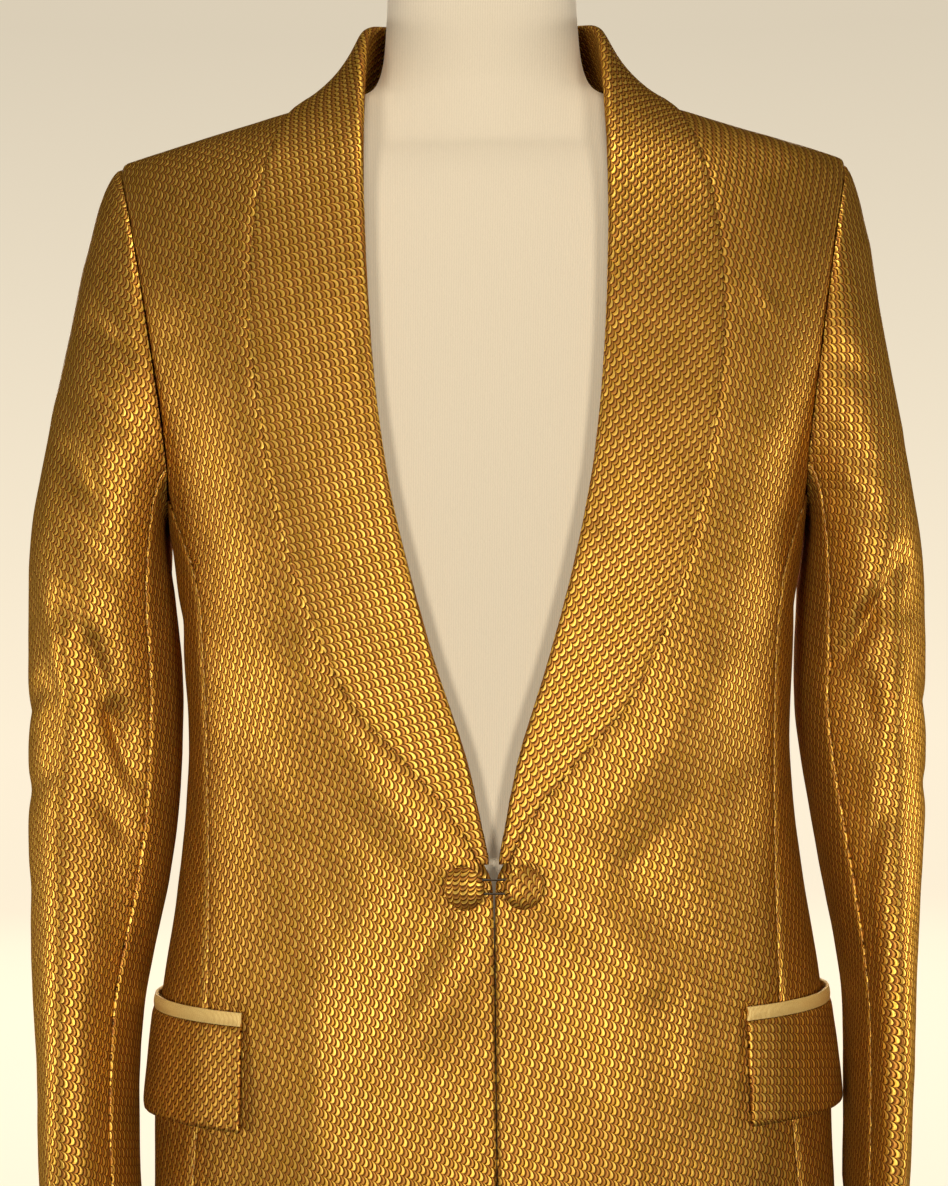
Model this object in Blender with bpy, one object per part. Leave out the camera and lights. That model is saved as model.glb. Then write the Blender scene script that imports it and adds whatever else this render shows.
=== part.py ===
"""A shawl-collar evening coat with a link front, on a limbless form.

Sizes are in millimetres and become metres in the meshes. The coat faces -Y, +X is on the right
of someone who looks at its front, and the form's flat base is at z = 0. Left and right in the
names are the wearer's own. Panels are cut from one shell, the inner face of the body cloth,
which is a stack of rounded sections, and every piece that lies on a panel is moved out from it.
"""

import math
from collections import namedtuple

import bmesh
import bpy
import numpy as np
from mathutils import Vector

MM = 0.001

# Cloth and seams
CLOTH = 2.0
SEAM_TRIM = 0.2
LIE = 0.45
LAPEL_LIE = 0.9
SHAWL_SET_IN = 0.8
ARMPIT_EASE = 1.0

# Heights
HEM_Z = 40.0
FRONT_CORNER = 60.0
BREAK_Z = 316.0
ARMPIT_Z = 520.0
SHOULDER_Z = 742.0
NECK_Z = 785.0
BACK_NECK_Z = 797.0

# Widths from the middle
SHOULDER_X = 222.0
NECK_X = 78.0
CENTRE_GAP = 0.2

# Armhole: how far round the body it reaches in front and behind, in degrees
ARMHOLE_STEPS = 24
ARMHOLE_FRONT = 27.0
ARMHOLE_BACK = 29.0
FRONT_NOTCH = 10
BACK_NOTCH = 15

# Body panels: faces across each, and the heights at which its long edges are read
FRONT_COLUMNS = 11
BACK_COLUMNS = 8
CORNER_DEGREES = (0, 25, 50, 90)
CENTRE_HEIGHTS = (130, 160, 190, 215, 240, 265, 290, BREAK_Z)
LAPEL_HEIGHTS = (321, 340, 370, 405, 440, 480)
CHEST_Z = 515.0
BACK_NECK_DEPTH = 18.0
NECKLINE_SHARES = (0, 0.4, 0.75, 1)
SIDE_DIP = 16.0
FRONT_SEAM_HEIGHTS = (
    40, 62, 86, 110, 134, 160, 187, 212, 238, 263, 287, 313, 340, 369, 400, 432, 464, 497,
)
BACK_SEAM_HEIGHTS = (
    40, 66, 94, 122, 150, 178, 206, 234, 262, 290, 320, 350, 380, 410, 440, 468, 496, 524,
)

# Pockets
POCKET_X = 146.0
POCKET_LENGTH = 132.0
JET_TOP_Z = 234.0
JET_HEIGHT = 8.0
FLAP_HEIGHT = 60.0
FLAP_PROUD = 3.0
POCKET_COLUMNS = 12

# Shawl: its roll, and the stations over which the lapel turns into the standing collar
ROLL_RADIUS = 1.9
COLLAR_ROLL_EXTRA = 0.9
COLLAR_BULGE = 2.0
COLLAR_TURN = 2.5
COLLAR_STANDS_Z = 800.0
NECK_AXIS_Y = 4.0
LEAF_SPRING = 0.6
LEAF_COLUMNS = 7
SHAWL_STATIONS = 30

# Link closure
BUTTON_RADIUS = 12.7
BUTTON_HEIGHT = 6.8
BUTTON_RIM = 1.6
BUTTON_UNDERCUT = 1.2
BUTTON_CLEAR = 1.7
BUTTON_STEPS = 16
BUTTON_Z = 310.0
BUTTON_X = 13.0
BUTTON_LEAN = 28
SHANK_RADIUS = 2.6
SHANK_HEIGHT = 6.4
LINK_THICK = 1.3
LINK_CLEAR = 0.7

SIDES = (("left", 1), ("right", -1))

Ring = namedtuple("Ring", "z half_width front back roundness")
BODY_RINGS = (
    Ring(40, 212, 124, 136, 2.15),
    Ring(117, 210, 123, 137, 2.15),
    Ring(192, 208, 122, 134, 2.15),
    Ring(234, 204, 121, 129, 2.15),
    Ring(280, 196, 120, 121, 2.15),
    Ring(330, 189, 119, 112, 2.15),
    Ring(390, 184.5, 120, 107, 2.15),
    Ring(435, 187, 121, 109, 2.2),
    Ring(490, 191, 123, 115, 2.25),
    Ring(545, 199, 122, 121, 2.3),
    Ring(600, 214, 118, 124, 2.35),
    Ring(650, 223, 112, 121, 2.35),
    Ring(700, 226, 104, 111, 2.15),
    Ring(730, 225, 96, 100, 1.95),
    Ring(742, 222, 92, 94, 1.85),
    Ring(760, 162, 82, 86, 1.8),
    Ring(775, 111, 72, 78, 1.85),
    Ring(785, 78, 63, 70, 1.95),
    Ring(800, 73, 58, 66, 2.0),
)
FORM_RINGS = (
    Ring(0, 197, 109, 122, 2.15),
    Ring(20, 198, 110, 123, 2.15),
    Ring(192, 194, 110, 121, 2.15),
    Ring(234, 191, 109, 117, 2.15),
    Ring(280, 184, 108, 109, 2.15),
    Ring(330, 177, 107, 100, 2.15),
    Ring(373, 174, 107, 95, 2.15),
    Ring(430, 174, 109, 96, 2.15),
    Ring(490, 176, 111, 102, 2.2),
    Ring(545, 180, 110, 109, 2.2),
    Ring(600, 190, 106, 112, 2.2),
    Ring(650, 199, 100, 109, 2.1),
    Ring(700, 204, 91, 98, 1.9),
    Ring(730, 205, 80, 84, 1.7),
    Ring(743, 203, 69, 71, 1.6),
    Ring(747, 200, 64, 66, 1.55),
    Ring(760, 158, 59, 62, 1.5),
    Ring(773, 115, 56, 59, 1.6),
    Ring(781, 85, 54, 57, 1.8),
    Ring(785, 71, 53, 56, 1.9),
    Ring(792, 65, 53, 55, 1.95),
    Ring(805, 61, 53, 55, 2.0),
    Ring(835, 59, 55, 54, 2.0),
    Ring(868, 58, 55, 53, 2.0),
    Ring(872, 55, 52, 50, 2.0),
)

# Front edge of a front panel: below the break it is the centre, above it runs under the lapel
EdgePoint = namedtuple("EdgePoint", "z x")
FRONT_EDGE = (
    EdgePoint(322, 6.4),
    EdgePoint(338, 10.5),
    EdgePoint(358, 16),
    EdgePoint(382, 23),
    EdgePoint(405, 31),
    EdgePoint(430, 40),
    EdgePoint(478, 53.5),
    EdgePoint(530, 65),
    EdgePoint(582, 73),
    EdgePoint(647, 78),
    EdgePoint(700, 80),
    EdgePoint(735, 81),
    EdgePoint(762, 80.5),
    EdgePoint(778, 79.5),
    EdgePoint(785, 78),
)
SIDE_FRONT_SEAM = (
    EdgePoint(40, 183),
    EdgePoint(139, 177),
    EdgePoint(234, 168),
    EdgePoint(310, 167),
    EdgePoint(373, 168),
    EdgePoint(430, 169),
    EdgePoint(480, 172),
    EdgePoint(508, 180),
)
SIDE_BACK_SEAM = (
    EdgePoint(40, 172),
    EdgePoint(139, 168),
    EdgePoint(234, 160),
    EdgePoint(310, 150),
    EdgePoint(373, 146),
    EdgePoint(430, 150),
    EdgePoint(480, 160),
    EdgePoint(520, 174),
)

# The lapel: its roll, which is the edge of the opening, and its outer edge, both on the front
Lapel = namedtuple("Lapel", "roll_x roll_z edge_x edge_z")
LAPEL = (
    Lapel(3, 322, 7.8, 322.5),
    Lapel(6, 338, 14, 335),
    Lapel(10, 358, 25, 353),
    Lapel(15, 382, 42, 373),
    Lapel(22.3, 405, 60, 393),
    Lapel(30.4, 430, 78, 413),
    Lapel(44, 478, 99, 456),
    Lapel(56, 530, 118, 513),
    Lapel(64, 582, 129, 572),
    Lapel(69, 647, 137, 640),
    Lapel(71, 700, 134, 697),
)
# The collar: roll, neck seam and outer edge, over the shoulder and round to the centre back
Collar = namedtuple("Collar", "roll_x roll_y roll_z seam_x seam_y seam_z edge_x edge_y edge_z")
COLLAR = (
    Collar(71.5, -93, 733, 79.5, -89, 735, 128, -80, 730),
    Collar(72, -72, 766, 79, -63, 763, 117, -50, 757),
    Collar(72.5, -50, 796, 78, -37, 779, 104, -14, 776),
    Collar(72, -26, 817, 76.5, -8, 787, 93, 23, 781),
    Collar(68, 4, 829, 73, 22, 791, 80, 54, 782),
    Collar(54, 36, 835, 57, 46, 796, 60, 80, 781),
    Collar(29, 54, 838, 31, 62, 800, 35, 91, 781.5),
    Collar(0, 60, 838, 0, 66, 801, 0, 94, 782),
)

# Sleeves hang flattened, wide from front to back and narrow across
Tube = namedtuple("Tube", "z middle_x middle_y half_width half_depth")
SLEEVES = {
    "right": (
        Tube(470, 239.5, 8, 46, 70),
        Tube(411, 237.5, 8, 47, 66),
        Tube(349, 238.5, 2, 45.5, 62),
        Tube(289, 242, -6, 40.5, 60),
        Tube(227, 247, -14, 32.5, 61),
        Tube(166, 247, -22, 29, 59),
        Tube(105, 244.5, -28, 29, 57),
    ),
    "left": (
        Tube(470, 232.5, 8, 38, 76),
        Tube(411, 230.5, 8, 39, 74),
        Tube(349, 233, 2, 34.5, 73),
        Tube(289, 235, -6, 26.5, 72),
        Tube(227, 237, -14, 18.5, 70),
        Tube(166, 234.5, -22, 17, 68),
        Tube(105, 231, -28, 15.5, 66),
    ),
}
# Round a sleeve in degrees: 0 outside, 90 front, 180 towards the body, 270 behind
FRONT_SEAM_STEP = 9
ELBOW_SEAM_STEP = 17
HEAD_ROWS = (0, 0.06, 0.14, 0.24, 0.36, 0.48, 0.6, 0.72, 0.86)
TUBE_ROWS = 15
# The head leaves the armhole out, up and forwards at the shoulder, less so at the underarm
HEAD_REACH = 62.0
HEAD_REACH_LOSS = 34.0
HEAD_FORWARD = 0.45
HEAD_RISE = 0.3
HEAD_RISE_LOSS = 0.65
HEAD_FALL = 0.9
ROUND_MM = 1.15

# A crease: from one place to another round and down the sleeve, its width and its depth
Crease = namedtuple("Crease", "from_round from_z to_round to_z width depth")
CREASES = {
    "right": (
        Crease(40, 600, 78, 500, 15, 5),
        Crease(30, 470, 100, 356, 16, 8),
        Crease(55, 360, 100, 322, 11, 5),
        Crease(200, 480, 290, 400, 16, 6),
        Crease(330, 420, 250, 330, 18, 5),
    ),
    "left": (
        Crease(25, 492, 112, 428, 14, 9),
        Crease(70, 392, 100, 350, 12, 5),
        Crease(55, 345, 96, 300, 12, 6),
        Crease(330, 470, 250, 380, 16, 6),
        Crease(300, 350, 240, 280, 15, 5),
    ),
}
# Drag lines that run up and out over the fronts from the link
Drag = namedtuple("Drag", "from_x from_z to_x to_z width depth")
DRAGS = (
    Drag(45, 325, 165, 395, 13, 1.6),
    Drag(50, 300, 170, 330, 13, 1.8),
    Drag(40, 275, 120, 215, 14, 1.6),
    Drag(70, 440, 160, 470, 16, 1.2),
)

FORM_SIDES = 32
SLOPE_STEP = 0.4
LIFT_PASSES = 4

GOLD = (0.46, 0.25, 0.055, 1)
GOLD_DARK = (0.40, 0.21, 0.045, 1)
JERSEY = (0.80, 0.76, 0.68, 1)
THREAD = (0.06, 0.05, 0.04, 1)


def smooth_curve(xs, ys):
    """A smooth function through the points that never swings past them."""
    xs, ys = np.array(xs, float), np.array(ys, float)
    steps = np.diff(xs)
    slopes = np.diff(ys) / steps
    tangents = np.concatenate([slopes[:1], np.zeros(len(xs) - 2), slopes[-1:]])
    for i in range(1, len(xs) - 1):
        if slopes[i - 1] * slopes[i] > 0:
            before = 2 * steps[i] + steps[i - 1]
            after = steps[i] + 2 * steps[i - 1]
            tangents[i] = (before + after) / (before / slopes[i - 1] + after / slopes[i])

    def value(x):
        i = int(np.clip(np.searchsorted(xs, x) - 1, 0, len(steps) - 1))
        t = min(max((x - xs[i]) / steps[i], 0.0), 1.0)
        start = (1 + 2 * t) * (1 - t) ** 2 * ys[i] + t * (1 - t) ** 2 * steps[i] * tangents[i]
        end = t * t * (3 - 2 * t) * ys[i + 1] + t * t * (t - 1) * steps[i] * tangents[i + 1]
        return float(start + end)

    return value


def column(rows, name):
    return [getattr(row, name) for row in rows]


def ring_function(rings):
    heights = column(rings, "z")
    curves = [smooth_curve(heights, column(rings, name)) for name in Ring._fields[1:]]

    def ring(z):
        return [curve(z) for curve in curves]

    return ring


body_curves = ring_function(BODY_RINGS)
form_ring = ring_function(FORM_RINGS)


def body_ring(z):
    """The body's section at a height; over the shoulder its width follows one straight seam."""
    half_width, front, back, roundness = body_curves(z)
    if SHOULDER_Z < z <= NECK_Z:
        along = (z - SHOULDER_Z) / (NECK_Z - SHOULDER_Z)
        half_width = SHOULDER_X + along * (NECK_X - SHOULDER_X)
    return half_width, front, back, roundness


def power(value, exponent):
    return math.copysign(abs(value) ** exponent, value)


def on_ring(ring, turn, z):
    """A point on a section: turn is 0 at the centre front and 180 degrees at the centre back."""
    half_width, front, back, roundness = ring(z)
    angle = math.radians(turn)
    depth = front if math.cos(angle) > 0 else back
    x = half_width * power(math.sin(angle), 2 / roundness)
    y = -depth * power(math.cos(angle), 2 / roundness)
    return np.array([x, y, z])


def drag_depth(x, z):
    """How far the drag lines pull the front in at a place."""
    depth = 0.0
    for drag in DRAGS:
        start, end = np.array([drag.from_x, drag.from_z]), np.array([drag.to_x, drag.to_z])
        depth += drag.depth * trough(np.array([x, z]), start, end, drag.width)
    return depth


def trough(place, start, end, width):
    """1 on the line from start to end, falling away to its sides and its ends."""
    line = end - start
    along = float(np.dot(place - start, line) / np.dot(line, line))
    inside = min(max(along, 0.0), 1.0)
    away = np.linalg.norm(place - start - inside * line)
    taper = math.sin(math.pi * min(max(0.5 * inside + 0.25, 0.0), 1.0))
    return taper * math.exp(-((away / width) ** 2))


def shell(turn, z):
    """A point on the inner face of the body cloth."""
    point = on_ring(body_ring, turn, z)
    if turn < 90:
        point[1] += drag_depth(point[0], z)
    return point


def turn_at(x, z, behind=False):
    """The turn at which the shell is x from the middle."""
    half_width, _, _, roundness = body_ring(z)
    share = min(x / half_width, 1.0) ** (roundness / 2)
    turn = math.degrees(math.asin(share))
    return 180 - turn if behind else turn


def outward(turn, z):
    """The shell's normal."""
    across = shell(min(turn + 0.5, 180), z) - shell(max(turn - 0.5, 0), z)
    up = shell(turn, z + 0.5) - shell(turn, z - 0.5)
    normal = np.cross(across, up)
    return normal / np.linalg.norm(normal)


def height_over(point):
    """About how far a point lies outside the shell, and the way out."""

    def size(p):
        half_width, front, back, roundness = body_ring(p[2])
        depth = front if p[1] < 0 else back
        spread = (abs(p[0]) / half_width) ** roundness + (abs(p[1]) / depth) ** roundness
        return spread ** (1 / roundness)

    slope = np.zeros(3)
    for axis in range(3):
        shift = np.zeros(3)
        shift[axis] = SLOPE_STEP
        slope[axis] = (size(point + shift) - size(point - shift)) / (2 * SLOPE_STEP)
    steepness = np.linalg.norm(slope)
    return (size(point) - 1) / steepness, slope / steepness


def lift(point, least, pull=0.0):
    """Moves a point out until it lies at least so far over the shell; pull also draws it in."""
    point = np.array(point, float)
    for _ in range(LIFT_PASSES):
        height, way = height_over(point)
        if height < least:
            point = point + (least - height) * way
        elif pull:
            point = point - pull * (height - least) * way
    return point


def armhole(step):
    """Turn and height of a point of the armhole; step 0 is the shoulder and it runs forwards."""
    angle = 2 * math.pi * step / ARMHOLE_STEPS
    middle, reach = (SHOULDER_Z + ARMPIT_Z) / 2, (SHOULDER_Z - ARMPIT_Z) / 2
    swing = math.sin(angle)
    turn = 90 - (ARMHOLE_FRONT if swing > 0 else ARMHOLE_BACK) * swing
    return turn, middle + reach * math.cos(angle)


def front_line():
    """The front panel's inner boundary, hem to neck point, as turns and heights."""
    places = []
    for degrees in CORNER_DEGREES:
        angle = math.radians(degrees)
        x = FRONT_CORNER * (1 - math.sin(angle)) + CENTRE_GAP
        places.append((x, HEM_Z + FRONT_CORNER * (1 - math.cos(angle))))
    edge = smooth_curve(column(FRONT_EDGE, "z"), column(FRONT_EDGE, "x"))
    for z in CENTRE_HEIGHTS:
        places.append((CENTRE_GAP, z))
    for z in LAPEL_HEIGHTS:
        places.append((edge(z), z))
    notch_z = armhole(FRONT_NOTCH)[1]
    for step in range(FRONT_NOTCH, -1, -1):
        share = (armhole(step)[1] - notch_z) / (SHOULDER_Z - notch_z)
        height = CHEST_Z + share * (NECK_Z - CHEST_Z)
        places.append((edge(height), height))
    return [(turn_at(x, z), z) for x, z in places]


def side_line(seam, notch, heights, behind):
    """A panel's outer boundary: up its long seam to the notch, then round the armhole."""
    curve = smooth_curve(column(seam, "z"), column(seam, "x"))
    line = [(turn_at(curve(z), z, behind), z) for z in heights]
    steps = range(notch, ARMHOLE_STEPS + 1) if behind else range(notch, -1, -1)
    return line + [armhole(step) for step in steps]


def cloth_face(places, over):
    """Points over the shell at a table of turns and heights."""
    return np.array([[shell(*place) + over * outward(*place) for place in row] for row in places])


def panel_faces(places):
    """Inner and outer face of a body panel, its edges drawn in for the seams."""
    return trimmed(cloth_face(places, 0.0)), trimmed(cloth_face(places, CLOTH))


def ruled(inner, outer, columns):
    """Rows of places straight across the shell between two boundaries."""
    rows = []
    for start, end in zip(inner, outer, strict=True):
        start, end = np.array(start), np.array(end)
        rows.append([start + i / columns * (end - start) for i in range(columns + 1)])
    return rows


def trimmed(grid, amount=SEAM_TRIM):
    """The grid with all four edges drawn in by half a seam's gap."""
    grid = grid.copy()
    for a, b in ((0, 1), (-1, -2)):
        for pair in ((grid[:, a], grid[:, b]), (grid[a], grid[b])):
            edge, inside = pair
            way = inside - edge
            edge += amount * way / np.linalg.norm(way, axis=1, keepdims=True)
    return grid


def front_places():
    inner = front_line()
    outer = side_line(SIDE_FRONT_SEAM, FRONT_NOTCH, FRONT_SEAM_HEIGHTS, False)
    return ruled(inner, outer, FRONT_COLUMNS)


def back_places():
    outer = side_line(SIDE_BACK_SEAM, BACK_NOTCH, BACK_SEAM_HEIGHTS, True)
    neckline = [(180 - 90 * share, BACK_NECK_Z - (BACK_NECK_Z - NECK_Z) * share**2)
                for share in NECKLINE_SHARES]
    rising = len(outer) - len(neckline)
    height = BACK_NECK_Z - BACK_NECK_DEPTH - HEM_Z
    inner = [(180.0, HEM_Z + height * i / (rising - 1)) for i in range(rising)]
    return ruled(inner + neckline, outer, BACK_COLUMNS)


def side_places():
    """The side body, from the front seam to the back seam and up to the bottom of the armhole."""
    front = smooth_curve(column(SIDE_FRONT_SEAM, "z"), column(SIDE_FRONT_SEAM, "x"))
    back = smooth_curve(column(SIDE_BACK_SEAM, "z"), column(SIDE_BACK_SEAM, "x"))
    steps = BACK_NOTCH - FRONT_NOTCH
    top = [armhole(FRONT_NOTCH + i) for i in range(steps + 1)]
    rows = []
    for z_front, z_back in zip(FRONT_SEAM_HEIGHTS, BACK_SEAM_HEIGHTS, strict=True):
        share = (z_front - HEM_Z) / (ARMPIT_Z - HEM_Z)
        turn_front = turn_at(front(z_front), z_front)
        turn_back = turn_at(back(z_back), z_back, True)
        row = []
        for i in range(steps + 1):
            across = i / steps
            dip = SIDE_DIP * share**6 * math.sin(math.pi * across)
            z = z_front + across * (z_back - z_front) - dip
            row.append((turn_front + across * (turn_back - turn_front), z))
        rows.append(row)
    return rows + [top]


def shawl_keys():
    """Roll, seam and edge of one half of the shawl, from the break to the centre back."""
    edge_line = smooth_curve(column(FRONT_EDGE, "z"), column(FRONT_EDGE, "x"))
    rolls, seams, edges = [], [], []
    for row in LAPEL:
        seam_x = edge_line(row.roll_z) - SHAWL_SET_IN
        seam_turn = turn_at(seam_x, row.roll_z)
        seams.append(shell(seam_turn, row.roll_z) + CLOTH / 2 * outward(seam_turn, row.roll_z))
        roll_turn = turn_at(row.roll_x, row.roll_z)
        raised = CLOTH / 2 + ROLL_RADIUS
        rolls.append(shell(roll_turn, row.roll_z) + raised * outward(roll_turn, row.roll_z))
        edge_turn = turn_at(row.edge_x, row.edge_z)
        edges.append(shell(edge_turn, row.edge_z))
    for row in COLLAR:
        rolls.append(np.array([row.roll_x, row.roll_y, row.roll_z]))
        seams.append(np.array([row.seam_x, row.seam_y, row.seam_z]))
        edges.append(np.array([row.edge_x, row.edge_y, row.edge_z]))
    return np.array(rolls), np.array(seams), np.array(edges)


def spread_stations(keys, where):
    """Key rows read smoothly at new places along them."""
    index = np.arange(len(keys))
    curves = [smooth_curve(index, keys[:, axis]) for axis in range(3)]
    return np.array([[curve(place) for curve in curves] for place in where])


def shawl_grid():
    """One half of the shawl as rows across it: seam, stand, roll, then out over the leaf."""
    rolls, seams, edges = shawl_keys()
    where = np.linspace(0, len(rolls) - 1, SHAWL_STATIONS)
    rolls, seams, edges = (spread_stations(keys, where) for keys in (rolls, seams, edges))
    on_front = len(LAPEL) - 1
    rows = []
    for place, roll, seam, edge in zip(where, rolls, seams, edges, strict=True):
        turned = min(max((place - on_front) / COLLAR_TURN, 0.0), 1.0)
        edge = lift(edge, CLOTH * 1.5 + LAPEL_LIE, 1.0)
        out_here = roll - np.array([0.0, NECK_AXIS_Y, roll[2]])
        out_here = out_here / np.linalg.norm(out_here)
        stands = roll[2] >= COLLAR_STANDS_Z
        way = out_here if stands else height_over(lift(roll, 1.0))[1]
        out = (1 - turned) * way + turned * out_here
        leaf_way = edge - roll
        leaf_way -= np.dot(leaf_way, out) * out
        top = -leaf_way / np.linalg.norm(leaf_way)
        out = out - np.dot(out, top) * top
        out = out / np.linalg.norm(out)
        radius = ROLL_RADIUS + COLLAR_ROLL_EXTRA * turned
        middle = roll - radius * top
        arc = [middle + radius * (math.cos(a) * top + math.sin(a) * out)
               for a in (-math.pi / 2, -0.7, 0.0, 0.7, math.pi / 2)]
        stand = [seam + share * (arc[0] - seam) for share in (0.0, 0.5)]
        row = stand + arc
        rest = CLOTH * 1.5 + LAPEL_LIE
        for i in range(1, LEAF_COLUMNS + 1):
            share = i / LEAF_COLUMNS
            point = arc[-1] + share * (edge - arc[-1])
            point = point + turned * COLLAR_BULGE * math.sin(math.pi * share) * out
            point = lift(point, rest + (1 - share) * LEAF_SPRING, 1 - turned)
            row.append(point)
        rows.append(row)
    return np.array(rows)


def grid_normals(grid, closed):
    """Unit normals of a grid of points; a closed one joins its first and last column."""
    across = np.gradient(grid, axis=1)
    if closed:
        across[:, 0] = across[:, -1] = (grid[:, 1] - grid[:, -2]) / 2
    normal = np.cross(across, np.gradient(grid, axis=0))
    return normal / np.linalg.norm(normal, axis=2, keepdims=True)


def tube_function(side):
    rows = sorted(SLEEVES[side], key=lambda row: row.z)
    heights = column(rows, "z")
    curves = [smooth_curve(heights, column(rows, name)) for name in Tube._fields[1:]]

    def tube(z):
        return [curve(z) for curve in curves]

    return tube


def tube_point(tube, round_to, z):
    middle_x, middle_y, half_width, half_depth = tube(z)
    angle = math.radians(round_to)
    return np.array([
        middle_x + half_width * math.cos(angle),
        middle_y - half_depth * math.sin(angle),
        z,
    ])


def head_way(round_to):
    """The way the sleeve leaves the armhole, and how far it keeps that way."""
    angle = math.radians(round_to)
    down = 0.5 - 0.5 * math.cos(angle)
    way = np.array([1.0, -HEAD_FORWARD * math.sin(angle), HEAD_RISE - HEAD_RISE_LOSS * down])
    return (HEAD_REACH - HEAD_REACH_LOSS * down) * way / np.linalg.norm(way)


def sleeve_start(step):
    """Where the sleeve's wall begins, moved into the armhole so that it clears the panel's edge."""
    turn, z = armhole(step)
    normal = outward(turn, z)
    before, after = shell(*armhole(step - 0.2)), shell(*armhole(step + 0.2))
    into = np.cross(normal, after - before)
    into = into / np.linalg.norm(into)
    middle = shell(90, (SHOULDER_Z + ARMPIT_Z) / 2)
    if np.dot(into, middle - shell(turn, z)) < 0:
        into = -into
    leave = head_way(360 * step / ARMHOLE_STEPS)
    leave = leave / np.linalg.norm(leave)
    side_on = math.sqrt(max(1 - np.dot(leave, into) ** 2, 0.0))
    low = 0.5 - 0.5 * math.cos(2 * math.pi * step / ARMHOLE_STEPS)
    clear = CLOTH / 2 * side_on + SEAM_TRIM + ARMPIT_EASE * low**4
    return shell(turn, z) + CLOTH / 2 * normal + clear * into


def crease_depth(side, round_to, z):
    """How far the sleeve's creases draw a place on it in."""
    depth = 0.0
    place = np.array([round_to * ROUND_MM, z])
    for crease in CREASES[side]:
        start = np.array([crease.from_round * ROUND_MM, crease.from_z])
        end = np.array([crease.to_round * ROUND_MM, crease.to_z])
        depth += crease.depth * trough(place, start, end, crease.width)
    return depth


def sleeve_grid(side):
    """The whole sleeve as rings from the armhole to the cuff, mid wall, for the +X side."""
    tube = tube_function(side)
    heights = column(SLEEVES[side], "z")
    top, cuff = max(heights), min(heights)
    rounds = [360 * step / ARMHOLE_STEPS for step in range(ARMHOLE_STEPS + 1)]
    starts = [sleeve_start(step) for step in range(ARMHOLE_STEPS + 1)]
    rows = []
    for share in HEAD_ROWS:
        row = []
        for round_to, start in zip(rounds, starts, strict=True):
            end = tube_point(tube, round_to, top)
            leave = head_way(round_to)
            fall = np.array([0, 0, -HEAD_FALL * np.linalg.norm(end - start)])
            t = share
            point = (1 + 2 * t) * (1 - t) ** 2 * start + t * (1 - t) ** 2 * leave
            point = point + t * t * (3 - 2 * t) * end + t * t * (t - 1) * fall
            row.append(point)
        rows.append(row)
    for i in range(TUBE_ROWS):
        z = top + (cuff - top) * i / (TUBE_ROWS - 1)
        rows.append([tube_point(tube, round_to, z) for round_to in rounds])
    grid = np.array(rows)
    for row in grid[2:]:
        middle = row[:-1].mean(axis=0)
        for round_to, point in zip(rounds, row, strict=True):
            way = point - middle
            way[2] = 0
            point -= crease_depth(side, round_to, point[2]) * way / np.linalg.norm(way)
    return grid


def pocket_turn(z, along):
    """The turn at a distance along a pocket from its front end."""
    turn = turn_at(POCKET_X, z)
    left = along
    while left > 0:
        step = np.linalg.norm(shell(turn + 0.5, z) - shell(turn, z))
        turn += 0.5 * min(1.0, left / step)
        left -= step
    return turn


def pocket_faces(top, bottom, rows, hang):
    """A strip over the shell from the pocket's front end; hang moves its lower edge out."""
    faces = []
    for thick in (0.0, CLOTH):
        grid = []
        for j in range(rows + 1):
            down = 1 - j / rows
            z = top + down * (bottom - top)
            over = CLOTH + LIE + hang * down + thick
            turns = [pocket_turn(z, POCKET_LENGTH * i / POCKET_COLUMNS)
                     for i in range(POCKET_COLUMNS + 1)]
            grid.append([shell(turn, z) + over * outward(turn, z) for turn in turns])
        faces.append(np.array(grid))
    return faces


def material(name, colour, roughness, sheen=0.0):
    made = bpy.data.materials.new(name)
    made.use_nodes = True
    shader = made.node_tree.nodes["Principled BSDF"]
    shader.inputs["Base Color"].default_value = colour
    shader.inputs["Roughness"].default_value = roughness
    shader.inputs["Metallic"].default_value = 0.0
    shader.inputs["Sheen Weight"].default_value = sheen
    made.diffuse_color = colour
    return made


def place_object(name, mesh, look, parent):
    mesh.materials.append(look)
    mesh.shade_smooth()
    made = bpy.data.objects.new(name, mesh)
    bpy.context.scene.collection.objects.link(made)
    made.parent = parent
    return made


def wall(name, faces, sign, look, parent):
    """A closed cloth wall between two grids of points, its inner and its outer face."""
    inner, outer = faces
    rows, columns = inner.shape[0] - 1, inner.shape[1] - 1
    bm = bmesh.new()
    bmesh.ops.create_grid(bm, x_segments=columns, y_segments=rows, size=0.5)
    raised = bmesh.ops.extrude_face_region(bm, geom=bm.faces[:], use_keep_orig=True)
    outside = {item for item in raised["geom"] if isinstance(item, bmesh.types.BMVert)}
    for vert in bm.verts:
        j, i = round((vert.co.y + 0.5) * rows), round((vert.co.x + 0.5) * columns)
        x, y, z = (outer if vert in outside else inner)[j, i]
        vert.co = Vector((sign * x, y, z)) * MM
    bmesh.ops.recalc_face_normals(bm, faces=bm.faces)
    if bm.calc_volume(signed=True) < 0:
        bmesh.ops.reverse_faces(bm, faces=bm.faces)
    mesh = bpy.data.meshes.new(name)
    bm.to_mesh(mesh)
    bm.free()
    return place_object(name, mesh, look, parent)


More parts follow.
